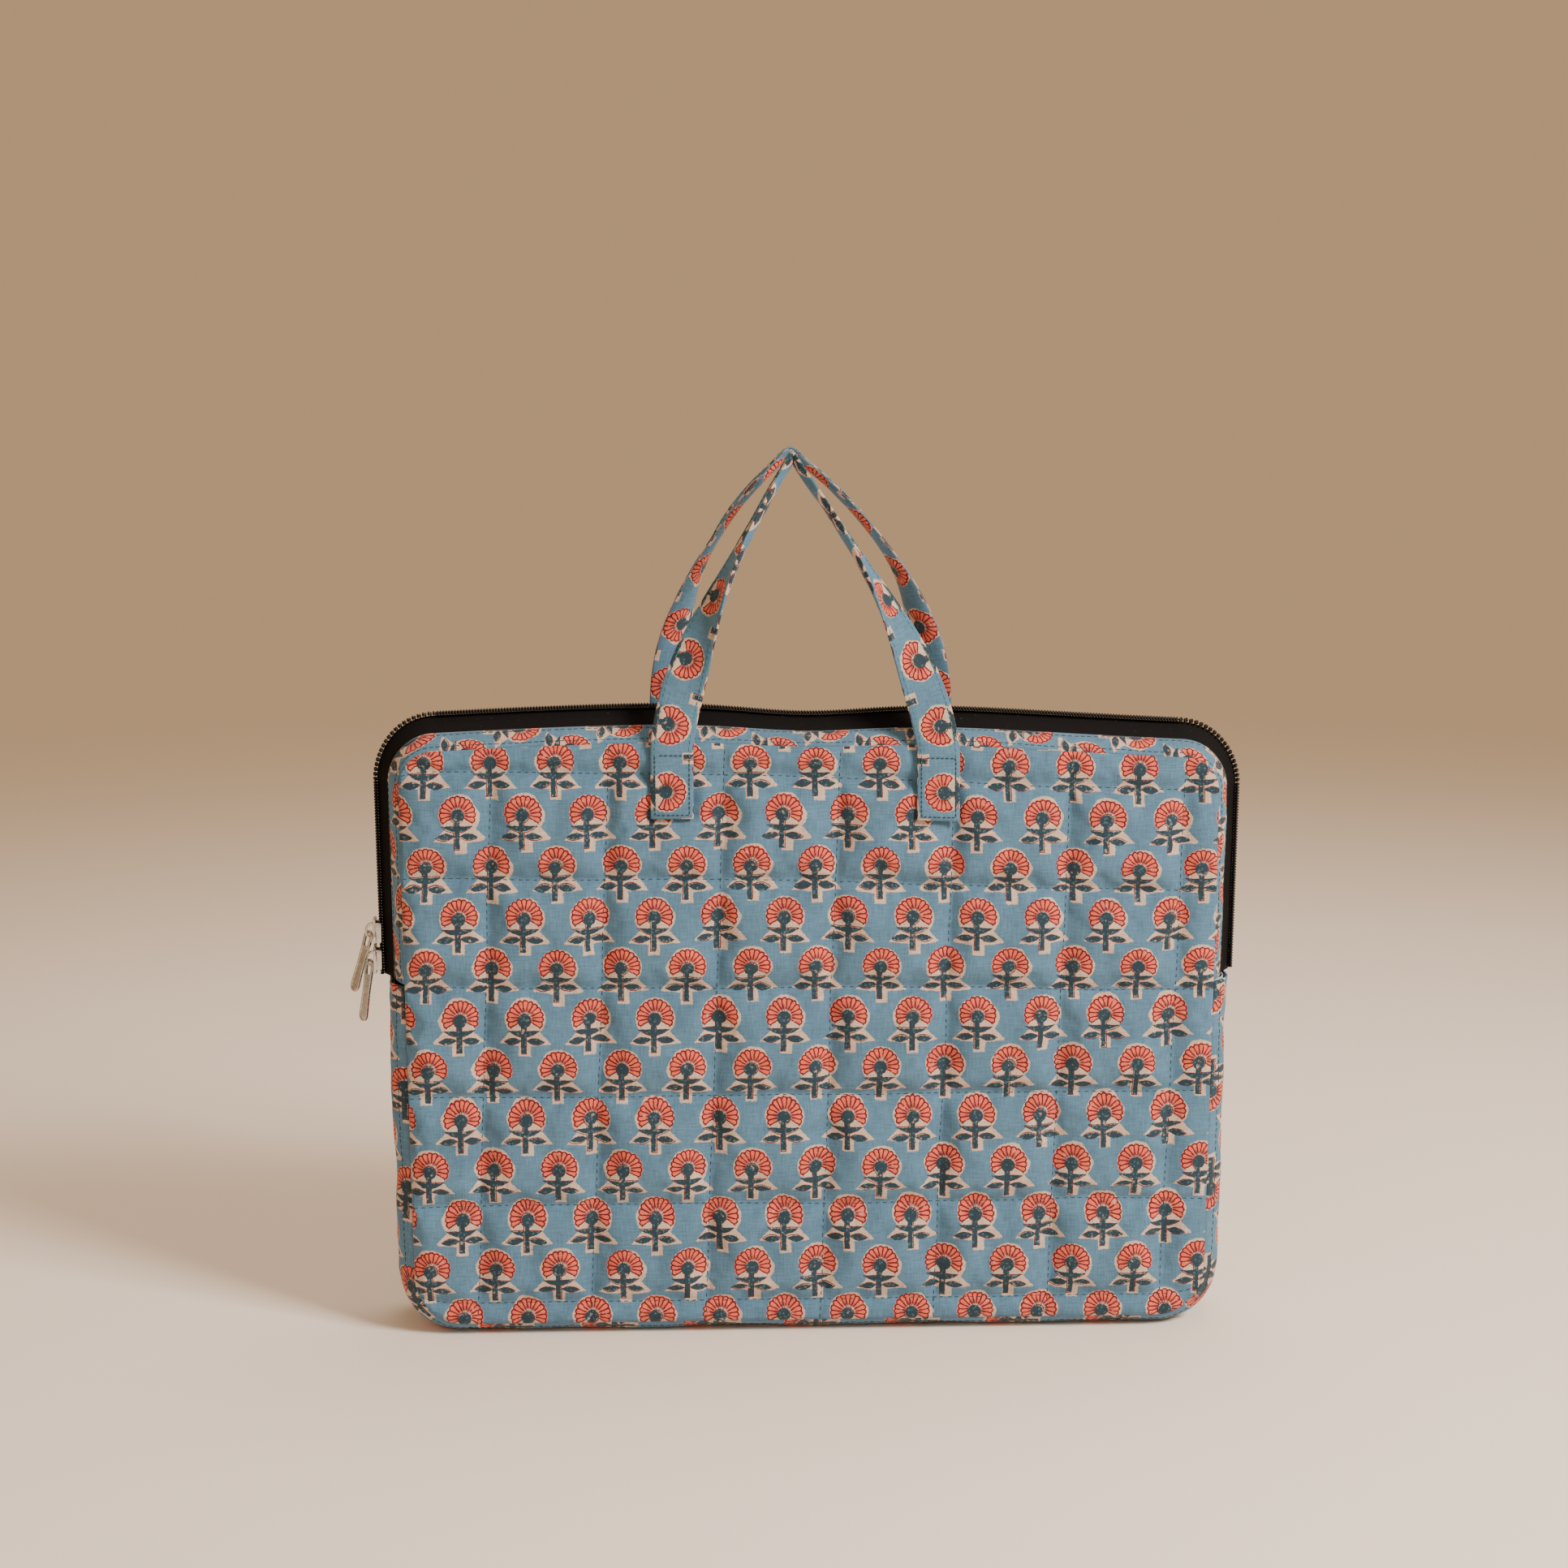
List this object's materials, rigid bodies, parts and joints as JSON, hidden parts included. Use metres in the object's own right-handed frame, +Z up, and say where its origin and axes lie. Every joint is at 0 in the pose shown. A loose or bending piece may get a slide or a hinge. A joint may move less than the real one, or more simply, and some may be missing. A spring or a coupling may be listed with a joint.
{
  "type": "knitting bag",
  "caption": "Quilted cotton project bag with a U gusset, a wrap-round coil zip with head-to-head sliders, a front that folds open, and short sewn carrying handles.",
  "frame": {"origin": "the middle of the flat base that the bag stands on, under its zip line", "axes": "+Z up; -Y is the front, where the upper half folds open; +X is to the right seen from the front"},
  "size_m": [0.3998, 0.06, 0.3994],
  "materials": {
    "printed_cotton": "block-printed quilting cotton, matt",
    "lining_cotton": "plain cotton, matt",
    "wadding": "fleece wadding",
    "zip_tape": "woven black tape",
    "zip_coil": "black nylon coil, slight sheen",
    "nickel": "nickel-plated die casting"
  },
  "bodies": {
    "bag_body": {"front_panel_lower": "printed_cotton", "front_wadding_lower": "wadding", "front_lining_lower": "lining_cotton", "back_panel": "printed_cotton", "back_wadding": "wadding", "back_lining": "lining_cotton", "gusset": "printed_cotton", "gusset_lining": "lining_cotton", "front_binding_lower": "lining_cotton", "back_binding": "lining_cotton", "back_zip_facing": "printed_cotton", "back_zip_tape": "zip_tape", "back_zip_coil": "zip_coil", "zip_end_left": "zip_tape", "zip_end_right": "zip_tape", "zip_facing_end_left": "printed_cotton", "zip_facing_end_right": "printed_cotton", "back_handle_left_end": "printed_cotton", "back_handle_right_end": "printed_cotton"},
    "front_flap": {"front_panel_upper": "printed_cotton", "front_wadding_upper": "wadding", "front_lining_upper": "lining_cotton", "front_binding_upper": "lining_cotton", "front_zip_facing": "printed_cotton", "front_zip_tape": "zip_tape", "front_zip_coil": "zip_coil", "front_handle_left_end": "printed_cotton", "front_handle_right_end": "printed_cotton"},
    "front_handle": {"front_handle": "printed_cotton"},
    "back_handle": {"back_handle": "printed_cotton"},
    "lower_slider": {"lower_slider": "nickel"},
    "upper_slider": {"upper_slider": "nickel"},
    "lower_pull": {"lower_pull": "nickel"},
    "upper_pull": {"upper_pull": "nickel"}
  },
  "joints": [
    {"name": "front_flap_fold", "type": "hinge", "parent": "bag_body", "child": "front_flap", "pos_m": [0, -0.0255, 0.19], "axis": [1, 0, 0], "range_deg": [0, 70]},
    {"name": "front_handle_swing", "type": "hinge", "parent": "front_flap", "child": "front_handle", "pos_m": [0, -0.02345, 0.2664], "axis": [1, 0, 0], "range_deg": [0, 135]},
    {"name": "back_handle_swing", "type": "hinge", "parent": "bag_body", "child": "back_handle", "pos_m": [0, 0.02345, 0.2664], "axis": [1, 0, 0], "range_deg": [-135, 0]},
    {"name": "lower_slider_travel", "type": "slide", "parent": "bag_body", "child": "lower_slider", "axis": [0, 0, 1], "range_m": [0, 0.028]},
    {"name": "upper_slider_travel", "type": "slide", "parent": "lower_slider", "child": "upper_slider", "axis": [0, 0, 1], "range_m": [0, 0.03]},
    {"name": "lower_pull_swing", "type": "hinge", "parent": "lower_slider", "child": "lower_pull", "pos_m": [-0.19727, 0, 0.168], "axis": [0, 1, 0], "range_deg": [0, 14]},
    {"name": "upper_pull_swing", "type": "hinge", "parent": "upper_slider", "child": "upper_pull", "pos_m": [-0.19727, 0, 0.181], "axis": [0, 1, 0], "range_deg": [0, 130]}
  ]
}
